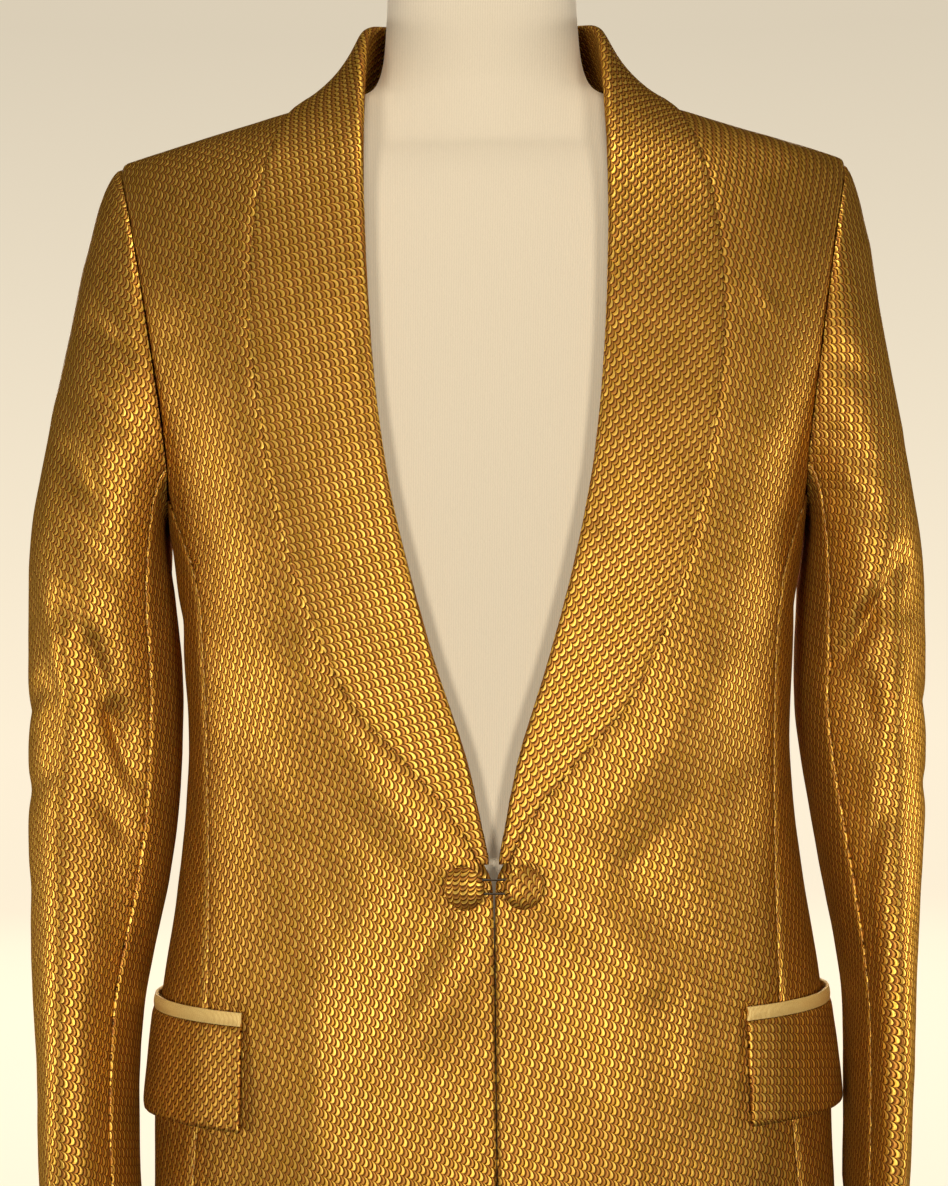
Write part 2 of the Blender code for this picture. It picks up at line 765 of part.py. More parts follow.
def make_form(parent):
    """A smooth torso with a neck and no limbs, closed at its flat base and at its neck."""
    look = material("form_jersey", JERSEY, 0.85, 0.3)
    bm = bmesh.new()
    loops = []
    for ring in FORM_RINGS:
        made = bmesh.ops.create_circle(bm, segments=FORM_SIDES, radius=1.0)
        for i, vert in enumerate(made["verts"]):
            turn = 360 * i / FORM_SIDES
            x, y, z = on_ring(form_ring, turn, ring.z)
            vert.co = Vector((x, y, z)) * MM
        loops.append({edge for vert in made["verts"] for edge in vert.link_edges})
    for lower, upper in zip(loops, loops[1:], strict=False):
        bmesh.ops.bridge_loops(bm, edges=list(lower | upper))
    for loop in (loops[0], loops[-1]):
        bmesh.ops.edgeloop_fill(bm, edges=list(loop))
    bmesh.ops.recalc_face_normals(bm, faces=bm.faces)
    mesh = bpy.data.meshes.new("dress_form")
    bm.to_mesh(mesh)
    bm.free()
    place_object("dress_form", mesh, look, parent)


def make_panels(look, parent):
    for name, places in (("front", front_places()), ("side", side_places()),
                         ("back", back_places())):
        faces = panel_faces(places)
        for side, sign in SIDES:
            wall(f"{name}_{side}", faces, sign, look, parent)


def make_sleeves(look, parent):
    for side, sign in SIDES:
        middle = sleeve_grid(side)
        way = grid_normals(middle, True)
        parts = {"top_sleeve": [], "under_sleeve": []}
        for grid in (middle - CLOTH / 2 * way, middle + CLOTH / 2 * way):
            under = grid[:, FRONT_SEAM_STEP:ELBOW_SEAM_STEP + 1]
            top = np.concatenate([grid[:, ELBOW_SEAM_STEP:-1], grid[:, :FRONT_SEAM_STEP + 1]], axis=1)
            parts["top_sleeve"].append(trimmed(top))
            parts["under_sleeve"].append(trimmed(under))
        for name, faces in parts.items():
            wall(f"{name}_{side}", faces, sign, look, parent)


def make_shawl(look, parent):
    middle = shawl_grid()
    way = grid_normals(middle, False)
    way[-1, :, 0] = 0.0
    way[-1] /= np.linalg.norm(way[-1], axis=1, keepdims=True)
    faces = [trimmed(middle - CLOTH / 2 * way), trimmed(middle + CLOTH / 2 * way)]
    for side, sign in SIDES:
        wall(f"shawl_{side}", faces, sign, look, parent)


def make_pockets(look, dark, parent):
    jet_bottom = JET_TOP_Z - JET_HEIGHT
    flap_top = jet_bottom - 2 * SEAM_TRIM
    jet = pocket_faces(JET_TOP_Z, jet_bottom, 2, 0.0)
    flap = pocket_faces(flap_top, flap_top - FLAP_HEIGHT, 3, FLAP_PROUD)
    for side, sign in SIDES:
        wall(f"jet_{side}", jet, sign, dark, parent)
        wall(f"flap_{side}", flap, sign, look, parent)


def button_profile():
    """Radius and height of a covered dome on a short shank, from the shank up to the crown."""
    under = SHANK_HEIGHT
    rim = under + BUTTON_RIM
    dome = BUTTON_HEIGHT - BUTTON_RIM
    flat = BUTTON_RADIUS - BUTTON_UNDERCUT
    points = [(0.0, 0.0), (SHANK_RADIUS, 0.0), (SHANK_RADIUS, under), (flat, under)]
    for degrees in (0, 25, 50, 70):
        angle = math.radians(degrees)
        points.append((BUTTON_RADIUS * math.cos(angle) ** 0.7, rim + dome * math.sin(angle)))
    return points + [(0.0, rim + dome)]


def make_buttons(look, parent):
    """Two cloth-covered domes beside the centre, which the link's pull leans outwards."""
    lean = math.radians(BUTTON_LEAN)
    for side, sign in SIDES:
        turn = turn_at(BUTTON_X + SHANK_RADIUS, BUTTON_Z)
        seat = shell(turn, BUTTON_Z)[1] - CLOTH - LIE - BUTTON_CLEAR
        bm = bmesh.new()
        verts = [bm.verts.new((radius, 0, height)) for radius, height in button_profile()]
        edges = [bm.edges.new(pair) for pair in zip(verts, verts[1:], strict=False)]
        bmesh.ops.spin(bm, geom=verts + edges, cent=(0, 0, 0), axis=(0, 0, 1),
                       angle=2 * math.pi, steps=BUTTON_STEPS, use_merge=True)
        bmesh.ops.remove_doubles(bm, verts=bm.verts, dist=0.01)
        for vert in bm.verts:
            x, y, height = vert.co
            out = x * math.cos(lean) + height * math.sin(lean)
            proud = height * math.cos(lean) - x * math.sin(lean)
            vert.co = Vector((sign * (BUTTON_X + out), seat - proud, BUTTON_Z + y)) * MM
        bmesh.ops.recalc_face_normals(bm, faces=bm.faces)
        if bm.calc_volume(signed=True) < 0:
            bmesh.ops.reverse_faces(bm, faces=bm.faces)
        mesh = bpy.data.meshes.new(f"button_{side}")
        bm.to_mesh(mesh)
        bm.free()
        place_object(f"button_{side}", mesh, look, parent)


def make_link(parent):
    """The thread loop that goes round both shanks and holds the fronts together."""
    look = material("link_thread", THREAD, 0.5)
    turn = turn_at(BUTTON_X + SHANK_RADIUS, BUTTON_Z)
    lean = math.radians(BUTTON_LEAN)
    level = shell(turn, BUTTON_Z)[1] - CLOTH - LIE - BUTTON_CLEAR - SHANK_HEIGHT / 2
    shank_x = BUTTON_X + SHANK_HEIGHT / 2 * math.tan(lean)
    reach = SHANK_RADIUS + LINK_THICK / 2 + LINK_CLEAR
    points = []
    for sign in (1, -1):
        for degrees in (-90, -54, -18, 18, 54, 90):
            angle = math.radians(degrees)
            x = sign * (shank_x + reach * math.cos(angle))
            points.append((x, level, BUTTON_Z + sign * reach * math.sin(angle)))
    curve = bpy.data.curves.new("button_link", "CURVE")
    curve.dimensions = "3D"
    curve.bevel_depth = LINK_THICK / 2 * MM
    curve.bevel_resolution = 1
    spline = curve.splines.new("POLY")
    spline.points.add(len(points) - 1)
    for place, point in zip(spline.points, points, strict=True):
        place.co = (point[0] * MM, point[1] * MM, point[2] * MM, 1)
    spline.use_cyclic_u = True
    curve.materials.append(look)
    made = bpy.data.objects.new("button_link", curve)
    bpy.context.scene.collection.objects.link(made)
    made.parent = parent


def centre(origin):
    """Puts the middle of everything over the origin."""
    bpy.context.view_layer.update()
    low, high = np.full(3, np.inf), np.full(3, -np.inf)
    depsgraph = bpy.context.evaluated_depsgraph_get()
    for made in bpy.context.scene.objects:
        if made.type != "MESH":
            continue
        for corner in made.evaluated_get(depsgraph).bound_box:
            place = np.array(made.matrix_world @ Vector(corner))
            low, high = np.minimum(low, place), np.maximum(high, place)
    middle = (low + high) / 2
    origin.location = (-middle[0], -middle[1], 0)


def main():
    for old in list(bpy.data.objects):
        bpy.data.objects.remove(old, do_unlink=True)
    origin = bpy.data.objects.new("origin", None)
    bpy.context.scene.collection.objects.link(origin)
    gold = material("scale_jacquard", GOLD, 0.4, 0.2)
    piping = material("scale_jacquard_piping", GOLD_DARK, 0.4, 0.2)
    make_form(origin)
    make_panels(gold, origin)
    make_sleeves(gold, origin)
    make_shawl(gold, origin)
    make_pockets(gold, piping, origin)
    make_buttons(gold, origin)
    make_link(origin)
    centre(origin)


main()
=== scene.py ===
"""A gold evening coat in scale jacquard, with a shawl collar and a link front, on a limbless form.

Every cloth piece starts as the outer face of its packed wall. It is laid flat once, which gives the
weave its grain, then made fine, creased, rolled in at its edges and thickened inwards again.
Lengths in the tables are in millimetres, and everything in a mesh or a node is in metres.
"""

import math
from collections import namedtuple

import bmesh
import bpy
import numpy as np
from bpy.props import FloatProperty, FloatVectorProperty, PointerProperty
from mathutils import Matrix, Vector, noise
from mathutils.kdtree import KDTree


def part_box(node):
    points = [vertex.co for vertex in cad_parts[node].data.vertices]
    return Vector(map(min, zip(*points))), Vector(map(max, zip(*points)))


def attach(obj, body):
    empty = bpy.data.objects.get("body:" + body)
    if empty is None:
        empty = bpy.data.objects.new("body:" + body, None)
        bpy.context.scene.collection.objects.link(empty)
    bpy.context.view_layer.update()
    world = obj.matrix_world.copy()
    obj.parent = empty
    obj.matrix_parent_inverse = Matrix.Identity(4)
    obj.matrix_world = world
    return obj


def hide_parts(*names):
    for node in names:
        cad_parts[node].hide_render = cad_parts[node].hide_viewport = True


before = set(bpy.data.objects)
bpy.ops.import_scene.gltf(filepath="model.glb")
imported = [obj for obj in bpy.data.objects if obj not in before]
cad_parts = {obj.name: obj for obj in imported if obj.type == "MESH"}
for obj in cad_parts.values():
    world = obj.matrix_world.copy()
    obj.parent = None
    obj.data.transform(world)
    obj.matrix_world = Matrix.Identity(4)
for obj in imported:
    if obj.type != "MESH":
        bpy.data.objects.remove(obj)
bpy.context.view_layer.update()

bl_info = {
    "name": "Link-front evening coat",
    "version": (1, 0, 0),
    "blender": (4, 5, 0),
    "location": "View3D > Sidebar > Coat",
    "description": "Dresses the packed coat and its form in cloth, buttons and stitching",
    "category": "Add Mesh",
}

MM = 0.001
BODY = "root"
SIDES = ("left", "right")

# The form's upright axis, which the camera turns about, and how far the camera stands beside it
FORM_LOW, FORM_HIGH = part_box("dress_form")
FORM_AXIS_Y = (FORM_LOW.y + FORM_HIGH.y) / 2 - 0.006
CAMERA_SHIFT_X = -0.0011

# Recovering a wall's outer face
MERGE = 1e-6
WALL_EDGE = math.radians(58)
PAIR_BEND = math.radians(50)
PAIR_SHAPE = math.radians(100)

# Finish of the cloth pieces: subdivisions, and how the scales point, in degrees up from the right
Cut = namedtuple("Cut", "node level points slot rests_on")
CUTS = {
    "body": (
        Cut("front", 3, -24, "scale_jacquard", "dress_form"),
        Cut("side", 2, -24, "scale_jacquard", "dress_form"),
        Cut("back", 2, -24, "scale_jacquard", "dress_form"),
    ),
    "sleeves": (
        Cut("top_sleeve", 3, -13, "scale_jacquard", "side"),
        Cut("under_sleeve", 2, -13, "scale_jacquard", "side"),
    ),
    "shawl": (Cut("shawl", 3, 0, "scale_jacquard", "front"),),
    "pockets": (
        Cut("jet", 3, 0, "jacquard_trim", "front"),
        Cut("flap", 3, 0, "scale_jacquard", "front"),
    ),
}
TURNED_CUTS = {
    "front_left": -21, "top_sleeve_left": -16, "top_sleeve_right": -20,
    "shawl_left": -36, "shawl_right": -8, "flap_left": -10, "flap_right": -40,
}

# Creases beyond those of the solids, on the face seen from an azimuth. Across and up are the
# part's own millimetres, and a negative depth is a ridge.
Fold = namedtuple("Fold", "group azimuth from_across from_z to_across to_z width depth")
FOLDS = (
    # The pull of the link
    Fold("body", 0, -106, 439, -21, 322, 19, -4.4),
    Fold("body", 0, -138, 399, -84, 299, 15, 2.4),
    Fold("body", 0, -21, 308, -49, 240, 13, 2.3),
    Fold("body", 0, 8, 294, -32, 234, 15, -3.5),
    Fold("body", 0, 25, 291, 39, 265, 11, 2.1),
    Fold("body", 0, 47, 305, 93, 254, 15, -3.5),
    Fold("body", 0, 93, 308, 138, 262, 17, 2.4),
    Fold("body", 0, 153, 376, 87, 319, 11, 3.1),
    Fold("body", 0, 138, 427, 70, 348, 17, -3.5),
    # The skirts of the fronts
    Fold("body", 0, 2, 211, -15, 137, 34, 3.1),
    Fold("body", 0, -95, 245, -94, 137, 20, -3.9),
    Fold("body", 0, 70, 240, 81, 137, 28, -3.9),
    Fold("body", 0, 121, 245, 121, 188, 13, -1.8),
    # Chest and lapels
    Fold("body", 0, -172, 627, -158, 473, 17, 2.8),
    Fold("body", 0, 164, 658, 177, 637, 3, -1.2),
    Fold("body", 0, 83, 627, 70, 519, 7, 1.6),
    Fold("body", 0, -71, 627, -60, 575, 7, 1.6),
    # The back: below the collar, at the shoulder blades, the waist and the skirt
    Fold("body", 180, -60, 742, 60, 742, 12, 1.8),
    Fold("body", 180, -150, 640, -95, 560, 16, 2.4),
    Fold("body", 180, 148, 632, 98, 548, 15, 2.2),
    Fold("body", 180, -92, 420, -30, 398, 14, 2.2),
    Fold("body", 180, 88, 428, 24, 402, 15, 2.0),
    Fold("body", 180, -60, 385, 40, 380, 12, 1.4),
    Fold("body", 180, -85, 300, -92, 60, 26, 3.5),
    Fold("body", 180, -40, 300, -46, 60, 22, -2.5),
    Fold("body", 180, 38, 290, 46, 60, 22, -2.4),
    Fold("body", 180, 80, 290, 88, 60, 28, 3.2),
    # The side bodies, under the arms
    Fold("body", 90, -20, 470, 40, 430, 12, 2.0),
    Fold("body", 90, 30, 330, 20, 60, 22, 3.0),
    Fold("body", -90, 22, 465, -38, 425, 12, 2.2),
    Fold("body", -90, -28, 325, -18, 60, 22, 2.8),
    # Right sleeve, from its head to its cuff
    Fold("sleeve_right", -90, 0, 680, 0, 590, 50, 5.5),
    Fold("sleeve_right", 0, -231, 640, -208, 621, 8, 3.9),
    Fold("sleeve_right", 0, -224, 593, -210, 579, 6, 2.3),
    Fold("sleeve_right", 0, -246, 564, -228, 532, 8, 3.4),
    Fold("sleeve_right", 0, -231, 515, -217, 495, 8, 3.4),
    Fold("sleeve_right", 0, -245, 473, -225, 431, 9, 3.6),
    Fold("sleeve_right", 0, -231, 443, -215, 396, 11, 6.0),
    Fold("sleeve_right", 0, -218, 405, -204, 368, 7, 4.7),
    Fold("sleeve_right", 0, -225, 356, -208, 336, 7, 3.4),
    Fold("sleeve_right", 0, -247, 449, -247, 124, 13, -4.5),
    Fold("sleeve_right", 0, -254, 420, -254, 372, 6, 2.1),
    Fold("sleeve_right", 0, -213, 400, -212, 124, 16, 5.0),
    # Its outer side and its back, at the elbow
    Fold("sleeve_right", -90, 40, 425, -30, 385, 9, 2.2),
    Fold("sleeve_right", -90, 36, 365, -34, 348, 9, 2.0),
    Fold("sleeve_right", -90, 18, 300, -12, 205, 12, 2.0),
    Fold("sleeve_right", 180, 250, 440, 222, 402, 9, 2.6),
    Fold("sleeve_right", 180, 252, 380, 226, 352, 8, 2.4),
    # Left sleeve, from its head to its cuff
    Fold("sleeve_left", 90, 0, 690, 0, 575, 52, 9.0),
    Fold("sleeve_left", 0, 218, 616, 231, 602, 8, 2.6),
    Fold("sleeve_left", 0, 214, 569, 230, 554, 8, 2.6),
    Fold("sleeve_left", 0, 218, 532, 234, 524, 8, 3.1),
    Fold("sleeve_left", 0, 255, 494, 234, 460, 7, 5.9),
    Fold("sleeve_left", 0, 238, 466, 214, 433, 7, 6.2),
    Fold("sleeve_left", 0, 234, 414, 238, 378, 9, 4.4),
    Fold("sleeve_left", 0, 242, 355, 231, 314, 8, 4.4),
    Fold("sleeve_left", 0, 246, 449, 242, 355, 12, -4.0),
    Fold("sleeve_left", 0, 241, 330, 238, 124, 10, -4.2),
    Fold("sleeve_left", 0, 225, 420, 221, 124, 12, 4.2),
    Fold("sleeve_left", 0, 241, 368, 246, 363, 4, 1.6),
    # Its outer side and its back, at the elbow
    Fold("sleeve_left", 90, -40, 420, 30, 380, 9, 2.2),
    Fold("sleeve_left", 90, -35, 360, 35, 345, 9, 2.0),
    Fold("sleeve_left", 90, -20, 300, 10, 200, 12, 2.0),
    Fold("sleeve_left", 180, -250, 430, -222, 398, 9, 2.6),
    Fold("sleeve_left", 180, -252, 372, -224, 350, 8, 2.4),
)

# The cuts that are sewn over another, and how far from their edges they press it in
LAPPED = {"front": ("shawl", "flap", "jet")}
PRESS_REACH = 3.5 * MM

# The cloth's unevenness: waves to the metre, and how high they stand
WAVE, WAVE_HEIGHT = 17.0, 0.7
RIPPLE, RIPPLE_HEIGHT = 55.0, 0.25
PUCKER, PUCKER_HEIGHT = 130.0, 0.35
STILL_EDGE = 12.0 * MM
PUCKER_REACH = 9.0 * MM

# The link buttons lean outwards under the pull of their cord
BUTTON_LEAN = math.radians(28)

# A hand stitch over a seam
STITCH_PITCH = 4.4
STITCH_LENGTH = 3.2
STITCH_THICK = 0.55
STITCH_PROUD = 0.2
STITCH_SLANT = 0.25
SEAM_REACH = 4.0

GOLD_BODY = "BD7D16"
# Painted highlight: the pale gold the scales' colour reaches on their lifted edges, where light
# would catch them
GOLD_PAINTED_HIGHLIGHT = "FBD268"
# The weave's dark ground, darkened into painted shade in the hollows between the scales and under
# their lifted edges
GOLD_SHADE = "2B0900"
GOLD_TURNED = "6B3A12"
GOLD_ROSE = "B27340"
GOLD_FLECK = "F3BE34"

# The lamps: places, aims and sizes in metres, power in watts
Lamp = namedtuple("Lamp", "name place aim size power colour")
LAMPS = (
    Lamp("key left", (-0.62, -1.75, 0.24), (0, 0, 0.35), 0.4, 13.5, "FFF0D6"),
    Lamp("key right", (0.62, -1.75, 0.24), (0, 0, 0.35), 0.4, 12, "FFF0D6"),
    Lamp("rim left", (-1.5, 0.05, 0.15), (-0.25, 0, 0.4), 0.6, 8, "FFF3E0"),
    Lamp("rim right", (1.5, 0.05, 0.15), (0.25, 0, 0.4), 0.6, 9, "FFF3E0"),
    Lamp("top", (0, -0.9, 2.0), (0, 0, 0.8), 0.5, 13, "FFF0D6"),
    Lamp("back left", (-0.6, 1.9, 1.0), (0, 0, 0.4), 0.6, 13, "FFF0D6"),
    Lamp("back right", (0.6, 1.9, 1.1), (0, 0, 0.4), 0.6, 11, "FFF0D6"),
)


def linear(hex_colour):
    """An sRGB hex colour as linear red, green, blue and alpha."""
    parts = [int(hex_colour[i : i + 2], 16) / 255 for i in (0, 2, 4)]
    return [c / 12.92 if c <= 0.04045 else ((c + 0.055) / 1.055) ** 2.4 for c in parts] + [1.0]


def colour_property(name, description, hex_colour):
    return FloatVectorProperty(
        name=name, description=description, subtype="COLOR", size=4, min=0, max=1,
        default=linear(hex_colour),
    )


def length_property(name, description, millimetres, most=0.05):
    return FloatProperty(
        name=name, description=description, subtype="DISTANCE", unit="LENGTH",
        default=millimetres * MM, min=0, max=most,
    )


class JacquardSettings(bpy.types.PropertyGroup):
    body: colour_property("Scale", "Colour of a scale's raised satin", GOLD_BODY)
    # The scale edge colour is a painted highlight on the lifted edges of the scales
    light: colour_property("Scale edge", "Colour of the lifted edge of a scale", GOLD_PAINTED_HIGHLIGHT)
    # The ground colour is the weave's dark ground together with painted shade in the hollows between
    # the scales
    shade: colour_property("Ground", "Colour of the ground between the scales", GOLD_SHADE)
    # The trim colour is the weave's pale back together with a painted highlight on the jets
    trim: colour_property("Trim", "Colour of the ribbed satin of the jets", "FFE9A0")
    rose: colour_property("Rose", "Colour of the duller half of a scale", GOLD_ROSE)
    bright: colour_property("Fleck", "Colour of the brightest threads", GOLD_FLECK)
    rib: length_property("Rib", "Distance between the ribs of the jets", 1.5)
    pitch: length_property("Pitch", "From one scale to the next in its row", 5.3)
    width: length_property("Width", "From one row of scales to the next", 5.0)
    relief: length_property("Relief", "Height of a scale's edge over the ground", 0.55)
    wall: length_property("Thickness", "Thickness of the cloth with its lining", 1.8)
    roll: length_property("Rolled edge", "How far an edge turns in", 0.6)
    roll_width: length_property("Roll width", "Width of the turned edge", 2.2)
    press: length_property("Press", "How far a cut dips beside one sewn over it", 3.0)


class FormSettings(bpy.types.PropertyGroup):
    jersey: colour_property("Jersey", "Colour of the form's cover", "E6DFD2")
    rib: length_property("Rib", "Distance between the jersey's ribs", 1.6)


class StageSettings(bpy.types.PropertyGroup):
    paper: colour_property("Backdrop", "Colour of the floor and the backdrop", "FCEED4")
    distance: length_property("Distance", "From the camera to the form's middle", 1500, 10)
    eye: length_property("Eye height", "Height of the camera over the floor", 477, 10)
    lens: FloatProperty(name="Lens", description="Focal length in millimetres", default=73.46)
    turn: FloatProperty(
        name="Turn", description="How far the camera stands off the coat's middle",
        subtype="ANGLE", default=math.radians(-0.5),
    )
    roll: FloatProperty(
        name="Roll", description="How far the camera leans", subtype="ANGLE",
        default=math.radians(0.6),
    )


def add_node(tree, kind, inputs=None, **settings):
    """Adds a node; an input's value is set, or linked where it is another node's output."""
    node = tree.nodes.new(kind)
    for name, value in settings.items():
        setattr(node, name, value)
    for name, value in (inputs or {}).items():
        if isinstance(value, bpy.types.NodeSocket):
            tree.links.new(value, node.inputs[name])
        else:
            node.inputs[name].default_value = value
    return node


def new_material(name):
    material = bpy.data.materials.new(name)
    material.use_nodes = True
    material.node_tree.nodes.clear()
    return material, material.node_tree


def scale_jacquard():
    """Scale jacquard: satin floats lie over a dark ground in stacks of lapped scales, each lifted
    at its rounded edge, so the cloth flashes gold where it turns to the light and browns away.
    Its colour is also painted: darker in the hollows as painted shade, paler on the lifted edges
    as a painted highlight."""
    if "woven_scales" in bpy.data.materials:
        return bpy.data.materials["woven_scales"]
    look = bpy.context.scene.coat_jacquard
    material, tree = new_material("woven_scales")

    def maths(operation, first, second=0.0):
        inputs = {0: first, 1: second}
        return add_node(tree, "ShaderNodeMath", inputs, operation=operation).outputs[0]

    def shaped(value, points):
        node = add_node(tree, "ShaderNodeFloatCurve", {"Value": value})
        curve = node.mapping.curves[0]
        curve.points[0].location = points[0]
        curve.points[1].location = points[-1]
        for at in points[1:-1]:
            curve.points.new(*at)
        node.mapping.update()
        return node.outputs[0]

    flat = add_node(tree, "ShaderNodeUVMap", uv_map="flat").outputs["UV"]
    drift = add_node(tree, "ShaderNodeTexNoise", {"Vector": flat, "Scale": 70.0, "Detail": 1.0})
    eased = add_node(
        tree, "ShaderNodeVectorMath", {0: drift.outputs["Color"], 1: (0.5, 0.5, 0.5)},
        operation="SUBTRACT",
    ).outputs[0]
    eased = add_node(
        tree, "ShaderNodeVectorMath", {0: eased, 1: (0.0012, 0.0012, 0.0)}, operation="MULTIPLY",
    ).outputs[0]
    moved = add_node(tree, "ShaderNodeVectorMath", {0: flat, 1: eased}, operation="ADD").outputs[0]
    counted = add_node(
        tree, "ShaderNodeMapping", {"Vector": moved, "Scale": (1 / look.pitch, 1 / look.width, 1)},
    ).outputs[0]
    place = add_node(tree, "ShaderNodeSeparateXYZ", {0: counted})
    row = maths("FRACT", place.outputs["Y"])
    rim = shaped(row, ((0, 0.5), (0.12, 0.61), (0.35, 0.64), (0.62, 0.54), (0.86, 0.3), (1, 0)))
    stack = maths("SUBTRACT", place.outputs["X"], rim)
    along = maths("FRACT", stack)
    column = maths("FLOOR", place.outputs["Y"])
    cell = add_node(
        tree, "ShaderNodeCombineXYZ", {"X": maths("FLOOR", stack), "Y": column},
    ).outputs[0]
    chance = add_node(tree, "ShaderNodeTexWhiteNoise", {"Vector": cell}).outputs["Value"]
    dome = shaped(
        along,
        ((0, 0), (0.1, 0.02), (0.17, 0.45), (0.28, 0.72), (0.38, 0.68), (0.44, 0.14), (0.52, 0.06),
         (0.58, 0.5), (0.7, 0.86), (0.82, 1), (0.91, 0.95), (0.955, 0.3), (1, 0)),
    )
    rear = shaped(along, ((0, 0), (0.1, 1), (0.4, 1), (0.5, 0.2), (0.56, 0), (1, 0)))
    sides = shaped(row, ((0, 0.4), (0.1, 0.86), (0.3, 1), (0.75, 1), (0.92, 0.86), (1, 0.4)))
    relief = maths("MULTIPLY", dome, sides)

    spun = add_node(
        tree, "ShaderNodeMapping", {"Vector": flat, "Scale": (700, 4200, 1)},
    ).outputs[0]
    threads = add_node(
        tree, "ShaderNodeTexNoise", {"Vector": spun, "Scale": 1.0, "Detail": 2.0},
    ).outputs["Fac"]
    worn = add_node(tree, "ShaderNodeTexNoise", {"Vector": flat, "Scale": 34.0, "Detail": 2.0})

    # The colour follows the relief: painted shade in the hollows and at the row edges, the scale's
    # gold on its face, a painted highlight on its lifted edge
    tint = add_node(tree, "ShaderNodeValToRGB", {0: relief})
    painted_light_ramp = tint.color_ramp
    painted_light_ramp.elements[0].position, painted_light_ramp.elements[0].color = 0.1, look.shade
    painted_light_ramp.elements[1].position, painted_light_ramp.elements[1].color = 0.98, look.light
    middle = painted_light_ramp.elements.new(0.42)
    middle.color = look.body
    rosy = add_node(
        tree, "ShaderNodeMix", {0: maths("MULTIPLY", rear, 0.55), 6: tint.outputs[0], 7: look.rose},
        data_type="RGBA",
    ).outputs[2]
    flecks = add_node(
        tree, "ShaderNodeMapRange",
        {"Value": chance, "From Min": 0.55, "From Max": 1.0, "To Min": 0.0, "To Max": 0.3},
    ).outputs[0]
    flecks = maths("MULTIPLY", flecks, relief)
    woven = add_node(
        tree, "ShaderNodeMix", {0: flecks, 6: rosy, 7: look.bright}, data_type="RGBA",
    ).outputs[2]
    dull = maths("MULTIPLY_ADD", chance, -0.16)
    dull.node.inputs[2].default_value = 1.08
    flecked = maths("MULTIPLY_ADD", threads, 0.5)
    flecked.node.inputs[2].default_value = 0.75
    patched = maths("MULTIPLY_ADD", worn.outputs["Fac"], 0.24)
    patched.node.inputs[2].default_value = 0.88
    amount = maths("MULTIPLY", maths("MULTIPLY", dull, flecked), patched)
    colour = add_node(
        tree, "ShaderNodeVectorMath", {0: woven, "Scale": amount}, operation="SCALE",
    ).outputs[0]

    rough = add_node(
        tree, "ShaderNodeMapRange", {"Value": relief, "To Min": 0.56, "To Max": 0.43},
    ).outputs[0]
    raised = maths("ADD", relief, maths("MULTIPLY", threads, 0.12))
    bump = add_node(
        tree, "ShaderNodeBump", {"Height": raised, "Strength": 0.7, "Distance": look.relief},
    ).outputs[0]
    shader = add_node(
        tree, "ShaderNodeBsdfPrincipled",
        {"Base Color": colour, "Roughness": rough, "Normal": bump, "Metallic": 0.8,
         "Specular IOR Level": 0.3, "Specular Tint": linear(GOLD_TURNED)},
    )
    add_node(tree, "ShaderNodeOutputMaterial", {"Surface": shader.outputs[0]})
    return material


def ribbed_satin():
    """Ribbed satin: the jacquard's plain pale back, its floats in fine ribs across the jet. Its pale
    colour is also a painted highlight, for the light from above that the jets catch."""
    if "ribbed_satin" in bpy.data.materials:
        return bpy.data.materials["ribbed_satin"]
    look = bpy.context.scene.coat_jacquard
    material, tree = new_material("ribbed_satin")
    flat = add_node(tree, "ShaderNodeUVMap", uv_map="flat").outputs["UV"]
    ribs = add_node(
        tree, "ShaderNodeTexWave",
        {"Vector": flat, "Scale": 0.5 / look.rib, "Distortion": 1.2, "Detail": 2.0,
         "Detail Scale": 2.0},
        bands_direction="X",
    ).outputs["Fac"]
    # Pale rib crests: the weave's pale back and a painted highlight from the light above the jets
    tint = add_node(tree, "ShaderNodeValToRGB", {0: ribs})
    tint.color_ramp.elements[0].color = look.body
    tint.color_ramp.elements[1].color = look.trim
    tint.color_ramp.elements[1].position = 0.5
    bump = add_node(
        tree, "ShaderNodeBump", {"Height": ribs, "Strength": 0.5, "Distance": 0.0004},
    ).outputs[0]
    shader = add_node(
        tree, "ShaderNodeBsdfPrincipled",
        {"Base Color": tint.outputs[0], "Roughness": 0.5, "Normal": bump, "Metallic": 0.1},
    )
    add_node(tree, "ShaderNodeOutputMaterial", {"Surface": shader.outputs[0]})
    return material


def form_jersey():
    """Cotton jersey pulled tight over foam: matte, with fine upright ribs."""
    look = bpy.context.scene.coat_form
    material, tree = new_material("cotton_jersey")
    place = add_node(tree, "ShaderNodeTexCoord").outputs["Object"]
    ribs = add_node(
        tree, "ShaderNodeTexWave",
        {"Vector": place, "Scale": 0.5 / look.rib, "Distortion": 1.5, "Detail": 2.0,
         "Detail Scale": 3.0},
        bands_direction="X",
    ).outputs["Fac"]
    fluff = add_node(tree, "ShaderNodeTexNoise", {"Vector": place, "Scale": 900.0}).outputs["Fac"]
    mixed = add_node(tree, "ShaderNodeMath", {0: fluff, 1: 0.6, 2: ribs}, operation="MULTIPLY_ADD")
    tone = add_node(
        tree, "ShaderNodeMapRange", {"Value": mixed.outputs[0], "To Min": 0.88, "To Max": 1.06},
    ).outputs[0]
    colour = add_node(
        tree, "ShaderNodeVectorMath", {0: tuple(look.jersey)[:3], "Scale": tone}, operation="SCALE",
    ).outputs[0]
    bump = add_node(
        tree, "ShaderNodeBump", {"Height": mixed.outputs[0], "Strength": 0.35, "Distance": 0.0003},
    ).outputs[0]
    shader = add_node(
        tree, "ShaderNodeBsdfPrincipled",
        {"Base Color": colour, "Roughness": 0.88, "Normal": bump, "Sheen Weight": 0.25},
    )
    add_node(tree, "ShaderNodeOutputMaterial", {"Surface": shader.outputs[0]})
    return material


